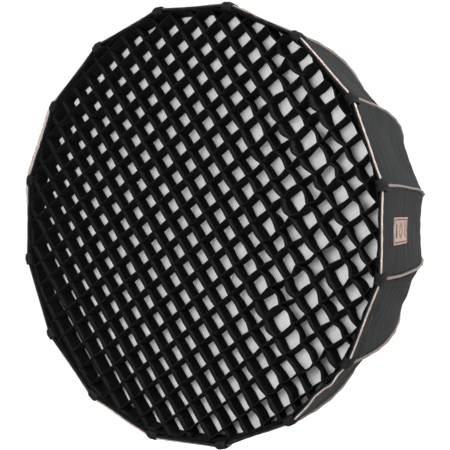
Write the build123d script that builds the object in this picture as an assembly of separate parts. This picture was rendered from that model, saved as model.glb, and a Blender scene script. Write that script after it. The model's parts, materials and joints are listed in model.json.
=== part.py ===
from build123d import *
import math
import os

# A deep sixteen-rod folding softbox with a fabric grid and a front diffuser, on a bayonet lamp mount.
# The lamp axis is Y. The lamp seats at y = 0 and stands on the +Y side, the front faces -Y, and Z is up.
# Every shape of one rib or one gore is drawn at angle 0, on the +X side, and turned about the lamp axis.

# ---- the rim and the rib's outer line ----
SIDES = 16
RIM_RADIUS = 450.0
RIM_Y = -610.0
RIM_HEADING = 6.0  # degrees between the rib and the lamp axis, at the rim
RIM_BEND = 0.542e-3  # curvature there, per mm
BEND_GROWTH = 2.678e-6  # curvature gained in each mm of run
ARC_RUN = 165.0  # length of each of the rib's arcs; a straight tail follows them
ARC_COUNT = 4
CUFF_RADIUS = 110.0

# ---- cloth ----
CLOTH = 1.2
CLOTH_GAP = 0.4  # between the shell and what is sewn or pressed on it
TAPE_THICK = 3.0
TAPE_HALF_WIDTH = 3.2
POCKET_RUN = 26.0
POCKET_HALF_WIDTH = 11.5
PIPING_RADIUS = 2.5
BAND_RUN = 32.0
BAND_THICK = 0.9
LABEL_RUN = (70.0, 185.0)
LABEL_HALF_WIDTH = 27.0
LABEL_THICK = 0.6

# ---- front cloths ----
FRONT_RADIUS = 442.5
FRONT_ROUND = 436.0  # the corners are rounded to this radius, clear of the rods
GRID_DEPTH = 38.0
GRID_PITCH = 42.0
GRID_STRIP = 1.6
GRID_ANGLE = 36.5
EDGE_BAND = 2.5
DIFFUSER_THICK = 0.8
BORDER_WIDTH = 8.0
BORDER_THICK = 1.4

# ---- rods ----
ROD_RADIUS = 2.0
ROD_INSET = 7.0  # rod centre inside the rib's outer line
CAP_RADIUS = 3.4
CAP_RUN = (4.0, 18.0)
PIVOT_RADIUS = 92.0
PIN_RADIUS = 1.5
PIN_LENGTH = 20.0
PIN_CLEARANCE = 0.05
BOSS_RADIUS = 6.0
BASE_HALF_WIDTH = 4.0
BASE_HALF_HEIGHT = 4.5
BASE_REACH = 40.0
SOCKET_START = 14.0

# ---- hub ----
HUB_RADIUS = 104.0
HUB_BORE = 60.0
HUB_FRONT_Y = -36.0
FLANGE = 4.0
SLOT_CLEARANCE = 0.3
SLOT_START = 84.0
SLOT_FLOOR_Y = -11.5
SCREW_RADIUS = 2.0
SCREW_CLEARANCE = 0.05
HUB_SCREWS = 8
HUB_SCREW_CIRCLE = 72.0
HUB_SCREW_TIP_Y = -8.0
PAN_HEAD = (3.6, 2.4)  # radius and height
LEAF_THICK = 0.8
LEAF_BUMP = 1.5
CUFF_THICK = 3.7
CUFF_Y = (-18.5, -8.0)

# ---- three-lug bayonet ring ----
RING_RADIUS = 76.0
RING_BORE = 57.0
COLLAR_RADIUS = 66.0
COLLAR_HEIGHT = 9.0
LUG_RADIUS = 72.0
LUG_THICK = 4.0
LUG_ANGLE = 24.0
LUGS = 3
MOUNT_SCREWS = 6
MOUNT_SCREW_CIRCLE = 71.0
MOUNT_SCREW_TIP_Y = -12.0
COUNTERSINK = 3.6
NOTCH = (10.0, 4.0)  # width and depth of the lamp's lock-pin notch

STEP = 360.0 / SIDES
HALF = STEP / 2
FLAT = math.cos(math.radians(HALF))  # radius of a gore's middle over that of its ribs
ARCS_END = ARC_RUN * ARC_COUNT


def rib_state(run):
    """Radius, y and heading of the rib's outer line, `run` mm behind the rim."""
    radius, y, heading = RIM_RADIUS, RIM_Y, math.radians(RIM_HEADING)
    for index in range(ARC_COUNT):
        bend = RIM_BEND + BEND_GROWTH * (index + 0.5) * ARC_RUN
        turned = heading + bend * min(run - index * ARC_RUN, ARC_RUN)
        radius += (math.cos(turned) - math.cos(heading)) / bend
        y += (math.sin(turned) - math.sin(heading)) / bend
        heading = turned
        if run <= (index + 1) * ARC_RUN:
            return radius, y, heading
    tail = run - ARCS_END
    return radius - tail * math.sin(heading), y + tail * math.cos(heading), heading


TAIL_RADIUS, TAIL_Y, TAIL_HEADING = rib_state(ARCS_END)
CUFF_RUN = ARCS_END + (TAIL_RADIUS - CUFF_RADIUS) / math.sin(TAIL_HEADING)
PIVOT_RUN = ARCS_END + (
    TAIL_RADIUS - ROD_INSET * math.cos(TAIL_HEADING) - PIVOT_RADIUS
) / math.sin(TAIL_HEADING)


def rib_point(run, inset, squeeze=1.0):
    """Point on the rib line moved inwards by `inset`; FLAT as squeeze gives a gore's middle."""
    radius, y, heading = rib_state(run)
    return Vector((radius - inset * math.cos(heading)) * squeeze, y - inset * math.sin(heading))


PIVOT = rib_point(PIVOT_RUN, ROD_INSET)


def rib_edges(start, end, inset, squeeze=1.0):
    """Arcs, and past them a straight tail, between two run lengths."""
    knots = [ARC_RUN * (index + 1) for index in range(ARC_COUNT)]
    stops = [start] + [knot for knot in knots if start < knot < end] + [end]
    edges = []
    for low, high in zip(stops, stops[1:]):
        first, last = (rib_point(run, inset, squeeze) for run in (low, high))
        if low >= ARCS_END:
            edges.append(Line(first, last))
        else:
            middle = rib_point((low + high) / 2, inset, squeeze)
            edges.append(ThreePointArc(first, middle, last))
    return edges


def rib_band(start, end, outer, inner, half_width, squeeze=1.0):
    """Curved strip along the rib between two insets."""
    outline = rib_edges(start, end, outer, squeeze) + rib_edges(start, end, inner, squeeze)
    for run in (start, end):
        outline.append(Line(rib_point(run, outer, squeeze), rib_point(run, inner, squeeze)))
    return extrude(make_face(Wire(outline)), amount=half_width, both=True)


def turned(shape, angle):
    return shape.rotate(Axis.Y, -angle)


def on_ribs(shape):
    return [turned(shape, HALF + STEP * index) for index in range(SIDES)]


def on_gores(shape):
    return [turned(shape, STEP * index) for index in range(SIDES)]


def ring(outer, inner, low, high):
    """Flat ring on the lamp axis, between two y values."""
    height = high - low
    body = Cylinder(outer, height) - Cylinder(inner, height)
    return Pos(0, (low + high) / 2, 0) * Rot(90, 0, 0) * body


def post(radius, low, high, circle, angle):
    """Cylinder along Y, at a radius and angle from the lamp axis."""
    body = Rot(90, 0, 0) * Cylinder(radius, high - low)
    return turned(Pos(circle, (low + high) / 2, 0) * body, angle)


def front_outline(inset=0.0):
    """Outline of the front cloths: the rim's polygon, corners on the ribs and rounded."""
    radius = FRONT_RADIUS - inset / FLAT
    return RegularPolygon(radius, SIDES, rotation=HALF) & Circle(FRONT_ROUND - inset)


def front_plate(sketch, rear_y, depth):
    return extrude(Plane.XZ.offset(-rear_y) * sketch, amount=depth)


# ---- cloth parts ----


def gore_sector():
    """Wedge that one gore fills, between two neighbouring rib planes."""
    reach = RIM_RADIUS * 1.2
    side = reach * math.tan(math.radians(HALF))
    sketch = Polygon((0, 0), (reach, -side), (reach, side), align=None)
    return front_plate(sketch, 0, reach - RIM_Y)


def gore_strip(start, end, outer, inner):
    """Flat strip of cloth across one gore, cut off at its two ribs."""
    return rib_band(start, end, outer, inner, RIM_RADIUS / 4, FLAT) & gore_sector()


def outer_shell():
    return on_gores(gore_strip(0, CUFF_RUN, 0, CLOTH))


def rim_band():
    inner = CLOTH + CLOTH_GAP / 2
    return on_gores(gore_strip(1, BAND_RUN, inner, inner + BAND_THICK))


def seam_tape():
    start, end = POCKET_RUN + CLOTH_GAP, CUFF_RUN - CLOTH
    return on_ribs(rib_band(start, end, -CLOTH_GAP - TAPE_THICK, -CLOTH_GAP, TAPE_HALF_WIDTH))


def corner_pockets():
    thick = CLOTH_GAP + 2 * CLOTH
    return on_ribs(rib_band(0, POCKET_RUN, -thick, -CLOTH_GAP, POCKET_HALF_WIDTH))


def rim_piping():
    edge = RIM_RADIUS * FLAT
    length = 2 * (edge * math.tan(math.radians(HALF)) - POCKET_HALF_WIDTH - CLOTH)
    place = Pos(edge - PIPING_RADIUS / 2, RIM_Y - PIPING_RADIUS - CLOTH_GAP / 2, 0)
    return on_gores(place * Cylinder(PIPING_RADIUS, length))


def label_patch():
    start, end = LABEL_RUN
    outer = -CLOTH_GAP - LABEL_THICK
    return [rib_band(start, end, outer, -CLOTH_GAP, LABEL_HALF_WIDTH, FLAT)]


def rear_cuff():
    inner = HUB_RADIUS + CLOTH_GAP
    return [ring(inner + CUFF_THICK, inner, *CUFF_Y)]


def grid():
    """Egg-crate lattice of crossed strips, all standing on the front plane."""
    count = int(FRONT_RADIUS / GRID_PITCH)
    strips = []
    for index in range(-count, count + 1):
        strip = Pos(0, index * GRID_PITCH) * Rectangle(2 * FRONT_RADIUS, GRID_STRIP)
        strips += [Rot(0, 0, GRID_ANGLE) * strip, Rot(0, 0, GRID_ANGLE + 90) * strip]
    lattice = Sketch() + strips
    inside = front_outline(EDGE_BAND + CLOTH_GAP)
    return [front_plate(lattice & inside, RIM_Y + GRID_DEPTH, GRID_DEPTH)]


def grid_border():
    band = front_outline() - front_outline(EDGE_BAND)
    return [front_plate(band, RIM_Y + GRID_DEPTH, GRID_DEPTH)]


def front_diffuser():
    rear = RIM_Y + GRID_DEPTH + CLOTH_GAP + DIFFUSER_THICK
    return [front_plate(front_outline(BORDER_WIDTH), rear, DIFFUSER_THICK)]


def diffuser_border():
    rear = RIM_Y + GRID_DEPTH + CLOTH_GAP + BORDER_THICK
    band = front_outline() - front_outline(BORDER_WIDTH - CLOTH_GAP / 2)
    return [front_plate(band, rear, BORDER_THICK)]


# ---- rods and their hinges ----


def rod():
    """Bent spring rod with its moulded tip cap."""
    path = Wire(rib_edges(CAP_RUN[1], PIVOT_RUN - SOCKET_START, ROD_INSET))
    wire = sweep(Plane(origin=path @ 0, z_dir=path % 0) * Circle(ROD_RADIUS), path=path)
    first, last = (rib_point(run, ROD_INSET) for run in CAP_RUN)
    length = (last - first).length
    cap = Cylinder(CAP_RADIUS, length, align=(Align.CENTER, Align.CENTER, Align.MIN))
    cap = fillet(cap.edges().sort_by(Axis.Z)[0], CAP_RADIUS * 0.6)
    return [wire, Plane(origin=first, z_dir=last - first) * cap]


def rod_base():
    """Pivot block: boss, tapering arm and the socket that holds the rod."""
    arm = Polygon(
        (0, -BOSS_RADIUS * 0.9),
        (BASE_REACH * 0.35, -BASE_HALF_HEIGHT),
        (BASE_REACH, -BASE_HALF_HEIGHT * 0.8),
        (BASE_REACH, BASE_HALF_HEIGHT * 0.8),
        (BASE_REACH * 0.35, BASE_HALF_HEIGHT),
        (0, BOSS_RADIUS * 0.9),
        align=None,
    )
    block = extrude(Circle(BOSS_RADIUS) + arm, amount=BASE_HALF_WIDTH, both=True)
    block -= Cylinder(PIN_RADIUS + PIN_CLEARANCE, 4 * BASE_HALF_WIDTH)
    length = BASE_REACH - SOCKET_START
    socket = Pos(SOCKET_START + length / 2, 0, 0) * Rot(0, 90, 0) * Cylinder(ROD_RADIUS, length)
    outwards = math.degrees(math.atan2(-math.cos(TAIL_HEADING), math.sin(TAIL_HEADING)))
    return Pos(PIVOT.X, PIVOT.Y, 0) * Rot(0, 0, outwards) * (block - socket)


def hinge_pin():
    return Pos(PIVOT.X, PIVOT.Y, 0) * Cylinder(PIN_RADIUS, PIN_LENGTH)


# ---- hub ----


def slot(floor_y):
    """Room for one rod base, open towards the front and at the hub's edge."""
    half_width = BASE_HALF_WIDTH + SLOT_CLEARANCE
    low, high = HUB_FRONT_Y - 1, floor_y
    reach = HUB_RADIUS + 1 - SLOT_START
    place = Pos(SLOT_START + reach / 2, (low + high) / 2, 0)
    return place * Box(reach, high - low, 2 * half_width)


def hub_screw_places():
    return [(index + 0.5) * 360 / HUB_SCREWS for index in range(HUB_SCREWS)]


def mount_screw_places():
    return [index * 360 / MOUNT_SCREWS for index in range(MOUNT_SCREWS)]


def hub_screw_holes():
    radius = SCREW_RADIUS + SCREW_CLEARANCE
    return [
        post(radius, HUB_FRONT_Y - 1, HUB_SCREW_TIP_Y, HUB_SCREW_CIRCLE, angle)
        for angle in hub_screw_places()
    ]


def hub_rear():
    """Rear half, which carries the lamp mount and half of each pin's seat."""
    body = ring(HUB_RADIUS, HUB_BORE, PIVOT.Y, -FLANGE)
    body = chamfer(body.edges().filter_by(GeomType.CIRCLE).sort_by(SortBy.RADIUS)[-2:], 1.2)
    holes = [
        post(SCREW_RADIUS + SCREW_CLEARANCE, MOUNT_SCREW_TIP_Y, 0, MOUNT_SCREW_CIRCLE, angle)
        for angle in mount_screw_places()
    ]
    return body - on_ribs(slot(SLOT_FLOOR_Y)) - on_ribs(hinge_pin()) - hub_screw_holes() - holes


def leaf_pocket():
    """Recess beside a slot for its detent spring."""
    deep = LEAF_THICK + 2 * SLOT_CLEARANCE
    start = BASE_HALF_WIDTH + SLOT_CLEARANCE
    place = Pos(PIVOT_RADIUS + 2, (HUB_FRONT_Y + PIVOT.Y - 2) / 2, start + deep / 2)
    return place * Box(11, PIVOT.Y - 2 - HUB_FRONT_Y, deep)


def detent_spring():
    """Spring leaf with a pressed bump, which a rod base clicks past."""
    face = BASE_HALF_WIDTH + 2 * SLOT_CLEARANCE
    centre = Pos(PIVOT_RADIUS + 2, (HUB_FRONT_Y + PIVOT.Y - 2) / 2, face + LEAF_THICK / 2)
    leaf = centre * Box(10, PIVOT.Y - 3 - HUB_FRONT_Y, LEAF_THICK)
    peak = BASE_HALF_WIDTH + SLOT_CLEARANCE / 2
    bump = Pos(PIVOT_RADIUS + 2, HUB_FRONT_Y + 5, peak + LEAF_BUMP) * Sphere(LEAF_BUMP)
    outer_half = Pos(0, 0, face + LEAF_THICK / 2 + 50) * Box(400, 200, 100)
    return leaf + (bump - outer_half)


def hub_front():
    """Front half, which clamps the hinge pins and guides the rod bases."""
    body = ring(HUB_RADIUS, HUB_BORE, HUB_FRONT_Y, PIVOT.Y)
    body = chamfer(body.edges().filter_by(GeomType.CIRCLE).sort_by(SortBy.RADIUS)[-2:], 1.2)
    body = body - on_ribs(slot(SLOT_FLOOR_Y)) - on_ribs(hinge_pin()) - hub_screw_holes()
    return body - on_ribs(leaf_pocket())


def hub_screws():
    """Pan-head screws through the front half into the rear half."""
    radius, height = PAN_HEAD
    shank = post(SCREW_RADIUS, HUB_FRONT_Y, HUB_SCREW_TIP_Y, HUB_SCREW_CIRCLE, 0)
    head = post(radius, HUB_FRONT_Y - height, HUB_FRONT_Y, HUB_SCREW_CIRCLE, 0)
    head = fillet(head.edges().sort_by(Axis.Y)[0], 0.9)
    head -= Pos(HUB_SCREW_CIRCLE, HUB_FRONT_Y - height, 0) * Box(1, 2, 5)
    head -= Pos(HUB_SCREW_CIRCLE, HUB_FRONT_Y - height, 0) * Box(5, 2, 1)
    return [turned(shank + head, angle) for angle in hub_screw_places()]


def bayonet_ring():
    """Flange, collar and lugs that a lamp's three-lug mount turns on to."""
    body = ring(RING_RADIUS, RING_BORE, -FLANGE, 0) + ring(COLLAR_RADIUS, RING_BORE, 0, COLLAR_HEIGHT)
    reach = 2 * LUG_RADIUS
    side = reach * math.tan(math.radians(LUG_ANGLE / 2))
    wedge = front_plate(Polygon((0, 0), (reach, -side), (reach, side), align=None), COLLAR_HEIGHT, LUG_THICK)
    lug = ring(LUG_RADIUS, COLLAR_RADIUS - 1, COLLAR_HEIGHT - LUG_THICK, COLLAR_HEIGHT) & wedge
    body = body + [turned(lug, 90 + index * 360 / LUGS) for index in range(LUGS)]
    width, depth = NOTCH
    body -= turned(Pos(RING_RADIUS - depth / 2, 0, 0) * Box(2 * depth, 3 * FLANGE, width), 45)
    body -= [
        turned(countersunk(SCREW_CLEARANCE), angle) for angle in mount_screw_places()
    ]
    return body


def countersunk(clearance):
    """Countersunk screw, head flush with the flange, or with a clearance the hole for it."""
    depth = COUNTERSINK - SCREW_RADIUS
    shank = Cylinder(SCREW_RADIUS + clearance, -MOUNT_SCREW_TIP_Y)
    head = Cone(SCREW_RADIUS + clearance, COUNTERSINK + clearance, depth)
    body = Pos(0, 0, MOUNT_SCREW_TIP_Y / 2) * shank + Pos(0, 0, -depth / 2) * head
    return Pos(MOUNT_SCREW_CIRCLE, 0, 0) * Rot(-90, 0, 0) * body


def mount_screws():
    drive = Pos(MOUNT_SCREW_CIRCLE, 0, 0) * Box(4, 2, 0.9)
    return [turned(countersunk(0) - drive, angle) for angle in mount_screw_places()]


# ---- files ----


def write(name, solids):
    """One STEP file of separate solids."""
    pieces = [piece for shape in solids for piece in shape.solids()]
    export_step(pieces[0] if len(pieces) == 1 else Compound(pieces), f"parts/{name}.step")


os.makedirs("parts", exist_ok=True)
for number, (bar, base) in enumerate(zip(zip(*map(on_ribs, rod())), on_ribs(rod_base())), 1):
    write(f"rod_{number:02d}", bar)
    write(f"rod_base_{number:02d}", [base])
write("hinge_pins", on_ribs(hinge_pin()))
write("detent_springs", on_ribs(detent_spring()))
write("hub_rear", [hub_rear()])
write("hub_front", [hub_front()])
write("hub_screws", hub_screws())
write("bayonet_ring", [bayonet_ring()])
write("mount_screws", mount_screws())
write("outer_shell", outer_shell())
write("rim_band", rim_band())
write("seam_tape", seam_tape())
write("corner_pockets", corner_pockets())
write("rim_piping", rim_piping())
write("label_patch", label_patch())
write("rear_cuff", rear_cuff())
write("grid", grid())
write("grid_border", grid_border())
write("front_diffuser", front_diffuser())
write("diffuser_border", diffuser_border())
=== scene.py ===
import json
import math

import bmesh
import bpy
import numpy as np
from mathutils import Matrix, Vector


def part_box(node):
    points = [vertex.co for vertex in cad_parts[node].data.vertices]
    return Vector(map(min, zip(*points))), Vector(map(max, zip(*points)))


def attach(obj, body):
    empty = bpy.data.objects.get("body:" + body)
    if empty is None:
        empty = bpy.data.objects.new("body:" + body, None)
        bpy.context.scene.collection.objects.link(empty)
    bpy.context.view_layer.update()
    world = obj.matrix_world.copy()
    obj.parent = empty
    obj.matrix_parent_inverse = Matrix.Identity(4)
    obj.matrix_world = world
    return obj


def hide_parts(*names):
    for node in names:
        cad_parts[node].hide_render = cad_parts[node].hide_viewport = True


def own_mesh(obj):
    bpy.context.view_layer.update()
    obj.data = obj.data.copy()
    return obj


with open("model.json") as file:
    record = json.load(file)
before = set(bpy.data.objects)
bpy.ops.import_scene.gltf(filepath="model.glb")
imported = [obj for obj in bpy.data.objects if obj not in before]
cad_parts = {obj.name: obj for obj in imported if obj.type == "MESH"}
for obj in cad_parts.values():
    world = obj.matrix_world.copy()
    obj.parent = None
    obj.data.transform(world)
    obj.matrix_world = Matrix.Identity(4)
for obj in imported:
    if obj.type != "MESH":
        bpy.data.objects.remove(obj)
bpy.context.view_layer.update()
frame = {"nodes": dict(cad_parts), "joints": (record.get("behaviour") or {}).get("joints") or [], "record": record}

# ---- the rib and the rim, in metres
SIDES = 16
RIBS = range(1, SIDES + 1)
HALF = math.pi / SIDES
RIM_HEADING = math.radians(6.0)
RIM_BEND = 0.542  # bend of the rib at the rim, in radians a metre
BEND_GROWTH = 2.678  # and how much it grows with each metre of run
ARC_RUN = 0.165
ARC_COUNT = 4
ARCS_END = ARC_RUN * ARC_COUNT
CUFF_RADIUS = 0.110

shell_low, shell_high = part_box("outer_shell")
RIM_Y = shell_low.y
RIM_RADIUS = shell_high.x / math.cos(HALF)
grid_low, grid_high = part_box("grid")
GRID_FRONT, GRID_REAR = grid_low.y, grid_high.y
front_low, front_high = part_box("diffuser_border")
FRONT_FLAT = front_high.x  # from the axis to the middle of one of the front cloths' sides
FRONT_ROUND = FRONT_FLAT + 0.002  # radius that rounds off the front cloths' corners
HUB_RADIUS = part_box("hub_rear")[1].x

GRID_PITCH = 0.042
GRID_ANGLE = math.radians(36.5)
LABEL_RUN = (0.070, 0.185)
LABEL_HALF = 0.027
LABEL_LIFT = (0.0012, 0.0002)  # its top and its underside over the shell


def rib_state(run):
    """Radius, y and heading of the ribs' outer line, for an array of run lengths behind the rim."""
    run = np.atleast_1d(np.asarray(run, float))
    radius = np.full(run.shape, RIM_RADIUS)
    y = np.full(run.shape, RIM_Y)
    heading = np.full(run.shape, RIM_HEADING)
    for index in range(ARC_COUNT):
        bend = RIM_BEND + BEND_GROWTH * (index + 0.5) * ARC_RUN
        inside = np.clip(run - index * ARC_RUN, 0.0 if index else -1.0, ARC_RUN)
        turned = heading + bend * inside
        radius += (np.cos(turned) - np.cos(heading)) / bend
        y += (np.sin(turned) - np.sin(heading)) / bend
        heading = turned
    tail = np.maximum(run - ARCS_END, 0.0)
    return radius - tail * np.sin(heading), y + tail * np.cos(heading), heading


tail_radius, _, tail_heading = rib_state(ARCS_END)
CUFF_RUN = ARCS_END + float((tail_radius[0] - CUFF_RADIUS) / math.sin(tail_heading[0]))


def rib_angle(rib):
    """Angle of rib 1 to 16 about the lamp axis, anticlockwise from +X as seen from the front."""
    return HALF + 2 * HALF * (rib - 1)


def arm(rib):
    """The body that a rib's rod, its base and its share of the cloth are on."""
    return f"rod_arm_{rib:02d}"


def radial(angle):
    return Vector((math.cos(angle), 0, math.sin(angle)))


def tangential(angle):
    return Vector((-math.sin(angle), 0, math.cos(angle)))


def placed(x, y, z, angle):
    """Points given as radial, y and tangential, turned to an angle about the lamp axis."""
    c, s = math.cos(angle), math.sin(angle)
    return np.stack([x * c - z * s, y, x * s + z * c], axis=-1)


def round_axis(r, y, angle):
    """Points at radius r, y and an angle about the lamp axis, for arrays of angles."""
    return np.stack([r * np.cos(angle), y + 0 * angle, r * np.sin(angle)], axis=-1)


def spread(first, second):
    """Pairs of coordinates over rows x columns, from a row's values and a column's values."""
    return np.stack(np.broadcast_arrays(first, second), axis=-1)


def full_turn(steps):
    return np.linspace(0, 2 * math.pi, steps + 1)[:-1]


# ---- camera, light and floor
VIEW_YAW = math.radians(-34.96)
VIEW_PITCH = math.radians(1.74)
VIEW_ROLL = math.radians(-0.83)
VIEW_OFFSET = (-0.073, -0.001, -2.847)  # the rim's centre, as the camera sees it
LENS = 112.66
SENSOR = 36.0
FLOOR_Z = -0.80
FLOOR_HALF = 9.0
FLOOR_SHADE = (0.94, 0.94, 0.94)
WORLD_STRENGTH = 1.06


def add_camera():
    """The camera looks at the front from its right, a little above the axis."""
    turn = Matrix.Rotation(VIEW_ROLL, 4, "Z") @ Matrix.Rotation(VIEW_PITCH, 4, "X")
    turn = turn @ Matrix.Rotation(VIEW_YAW, 4, "Y")
    place = Matrix.Translation((0, RIM_Y, 0)) @ Matrix.Rotation(math.pi / 2, 4, "X")
    data = bpy.data.cameras.new("camera")
    data.lens, data.sensor_width, data.clip_end = LENS, SENSOR, 50
    camera = bpy.data.objects.new("camera", data)
    camera.matrix_world = place @ turn.inverted() @ Matrix.Translation(-Vector(VIEW_OFFSET))
    bpy.context.scene.collection.objects.link(camera)
    bpy.context.scene.camera = camera


def add_area(name, place, target, size, power, beam=180):
    """A square light at a place, aimed at a target, with its power in watts and its beam in degrees."""
    data = bpy.data.lights.new(name, "AREA")
    data.shape, data.size, data.energy, data.spread = "SQUARE", size, power, math.radians(beam)
    lamp = bpy.data.objects.new(name, data)
    lamp.location = place
    lamp.visible_camera = False
    aim = Vector(target) - Vector(place)
    lamp.rotation_euler = aim.to_track_quat("-Z", "Y").to_euler()
    bpy.context.scene.collection.objects.link(lamp)


def add_stage():
    """A pale floor under even studio light."""
    mesh = bpy.data.meshes.new("floor")
    corners = [(x * FLOOR_HALF, y * FLOOR_HALF, FLOOR_Z) for x, y in ((-1, -1), (1, -1), (1, 1), (-1, 1))]
    mesh.from_pydata(corners, [], [(0, 1, 2, 3)])
    floor = bpy.data.objects.new("floor", mesh)
    bpy.context.scene.collection.objects.link(floor)
    pale, _, shader = new_material("pale_floor")
    shader.inputs["Base Color"].default_value = (*FLOOR_SHADE, 1)
    shader.inputs["Roughness"].default_value = 0.9
    floor.data.materials.append(pale)
    world = bpy.data.worlds.new("studio")
    world.use_nodes = True
    background = world.node_tree.nodes["Background"]
    background.inputs["Color"].default_value = (1, 1, 1, 1)
    background.inputs["Strength"].default_value = WORLD_STRENGTH
    bpy.context.scene.world = world
    add_area("front", (0.1, -5.2, 0.6), (0, RIM_Y, 0), 2.0, 220)
    add_area("left", (-2.4, -3.2, 0.9), (-0.3, RIM_Y, 0), 1.4, 80)
    add_area("top_right", (2.9, -1.2, 2.1), (0.2, RIM_Y / 2, 0.1), 1.0, 21, 24)
    bpy.context.scene.view_settings.view_transform = "Standard"


# ---- material helpers

STREAK_SLANT = 0.12
STREAK_STRETCH = (0.10, 1.0, 1.0)  # the shell's streaks are drawn out across the gore


def new_material(name):
    material = bpy.data.materials.new(name)
    material.use_nodes = True
    tree = material.node_tree
    return material, tree, tree.nodes["Principled BSDF"]


def fill(tree, node, inputs):
    """Sets a node's inputs by name or number; a socket as a value is linked, and a colour gets its alpha."""
    for key, value in inputs.items():
        socket = node.inputs[key]
        if isinstance(value, bpy.types.NodeSocket):
            tree.links.new(value, socket)
        elif socket.type == "RGBA":
            socket.default_value = (*value, 1)
        else:
            socket.default_value = value


def add_node(tree, kind, inputs=None, **properties):
    node = tree.nodes.new("ShaderNode" + kind)
    for key, value in properties.items():
        setattr(node, key, value)
    fill(tree, node, inputs or {})
    return node


def maths(tree, operation, first, second=0.0):
    return add_node(tree, "Math", {0: first, 1: second}, operation=operation).outputs[0]


def near(tree, value, centre, reach):
    """1 where a value is within reach of a centre, else 0."""
    return add_node(tree, "Math", {0: value, 1: centre, 2: reach}, operation="COMPARE").outputs[0]


def blend(tree, first, first_share, second, second_share):
    """Weighted sum of two values."""
    first, second = maths(tree, "MULTIPLY", first, first_share), maths(tree, "MULTIPLY", second, second_share)
    return maths(tree, "ADD", first, second)


def plus(tree, value, other, share):
    """A value with a share of another added."""
    return maths(tree, "ADD", value, maths(tree, "MULTIPLY", other, share))


def ramp(tree, value, low, high, to_low=0.0, to_high=1.0):
    inputs = {"Value": value, "From Min": low, "From Max": high, "To Min": to_low, "To Max": to_high}
    return add_node(tree, "MapRange", inputs, clamp=True).outputs["Result"]


def mixed(tree, factor, first, second):
    """Mix of two colours."""
    node = add_node(tree, "Mix", data_type="RGBA")
    fill(tree, node, {0: factor, 6: first, 7: second})
    return node.outputs[2]


def turned(tree, vector, angle):
    inputs = {"Vector": vector, "Angle": angle}
    return add_node(tree, "VectorRotate", inputs, rotation_type="Z_AXIS").outputs[0]


def uv_axes(tree, turn=0.0):
    """The cloth's coordinates in metres, and the across and along ones turned by an angle."""
    uv = add_node(tree, "UVMap", uv_map="cloth").outputs[0]
    split = add_node(tree, "SeparateXYZ", {"Vector": turned(tree, uv, turn)})
    return uv, split.outputs[0], split.outputs[1]


def noise(tree, vector, scale, detail=3.0, roughness=0.5):
    inputs = {"Vector": vector, "Scale": scale, "Detail": detail, "Roughness": roughness}
    return add_node(tree, "TexNoise", inputs).outputs["Fac"]


def wave(tree, coordinate, length):
    return maths(tree, "SINE", maths(tree, "MULTIPLY", coordinate, 2 * math.pi / length))


def threads(tree, coordinate, spacing):
    """Rounded ridges, one each `spacing` metres along a coordinate."""
    inputs = {0: wave(tree, coordinate, spacing), 1: 0.5, 2: 0.5}
    return add_node(tree, "Math", inputs, operation="MULTIPLY_ADD").outputs[0]


def plain_weave(tree, across, along, spacing):
    """Height of a plain weave: warp and weft ridges that take turns on top."""
    warp, weft = wave(tree, across, 2 * spacing), wave(tree, along, 2 * spacing)
    return maths(tree, "ABSOLUTE", maths(tree, "MULTIPLY", warp, weft))


def bump(tree, shader, height, distance, strength=1.0, normal=None):
    inputs = {"Height": height, "Distance": distance, "Strength": strength}
    if normal is not None:
        inputs["Normal"] = normal
    node = add_node(tree, "Bump", inputs)
    fill(tree, shader, {"Normal": node.outputs[0]})
    return node.outputs[0]


def cloth_material(name, dark, light, weave, roughness, sheen, gloss, turn=0.0, depth=0.0003, streak=0.0):
    """Woven cloth: weave relief, slubs, crosswise streaks and a slow drift between two shades."""
    material, tree, shader = new_material(name)
    vector, across, along = uv_axes(tree, turn)
    height = plain_weave(tree, across, along, weave)
    slub = noise(tree, vector, 900.0, 2.0)
    cloud = ramp(tree, noise(tree, vector, 14.0, 4.0, 0.6), 0.3, 0.7)
    shade = blend(tree, cloud, 0.6 - streak, height, 0.4)
    relief = plus(tree, height, slub, 0.5)
    if streak:
        inputs = {0: turned(tree, vector, STREAK_SLANT), 1: STREAK_STRETCH}
        drawn = add_node(tree, "VectorMath", inputs, operation="MULTIPLY").outputs[0]
        lines = ramp(tree, noise(tree, drawn, 130.0, 3.0, 0.6), 0.35, 0.68)
        shade = plus(tree, shade, lines, streak)
        relief = plus(tree, relief, lines, 5.0)
    rough = maths(tree, "SUBTRACT", maths(tree, "ADD", roughness, maths(tree, "MULTIPLY", slub, 0.16)), 0.08)
    fill(tree, shader, {
        "Base Color": mixed(tree, shade, dark, light), "Roughness": rough, "Sheen Weight": sheen,
        "Sheen Roughness": 0.45, "Specular IOR Level": gloss,
    })
    bump(tree, shader, relief, depth)
    return material


def shell_material():
    dark, light = (0.0028, 0.0030, 0.0031), (0.0140, 0.0145, 0.0150)
    return cloth_material("shell_cloth", dark, light, 0.0009, 0.65, 0.008, 0.02, streak=0.5)


def grid_material():
    """Black grid cloth, with painted shade darkening the strips' front folds."""
    dark, light = (0.0030, 0.0030, 0.0032), (0.0080, 0.0080, 0.0084)
    material = cloth_material("grid_cloth", dark, light, 0.0008, 0.8, 0.004, 0.03)
    tree = material.node_tree
    shader = tree.nodes["Principled BSDF"]
    _, around, _ = uv_axes(tree)
    girth = 2 * (GRID_REAR - GRID_FRONT)
    # painted shade: the colour darkens towards each strip's front fold, against the light the front lamp puts
    # there
    clear_of_fold_shade = ramp(tree, maths(tree, "MINIMUM", around, maths(tree, "SUBTRACT", girth, around)), 0.001, 0.005)
    cloth = shader.inputs["Base Color"].links[0].from_socket
    fill(tree, shader, {"Base Color": mixed(tree, clear_of_fold_shade, (0.0009, 0.0009, 0.0010), cloth)})
    return material


def webbing_material():
    dark, light = (0.003, 0.003, 0.0033), (0.008, 0.008, 0.0085)
    return cloth_material("webbing", dark, light, 0.0014, 0.8, 0.008, 0.03, math.pi / 4, 0.0005)


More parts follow.
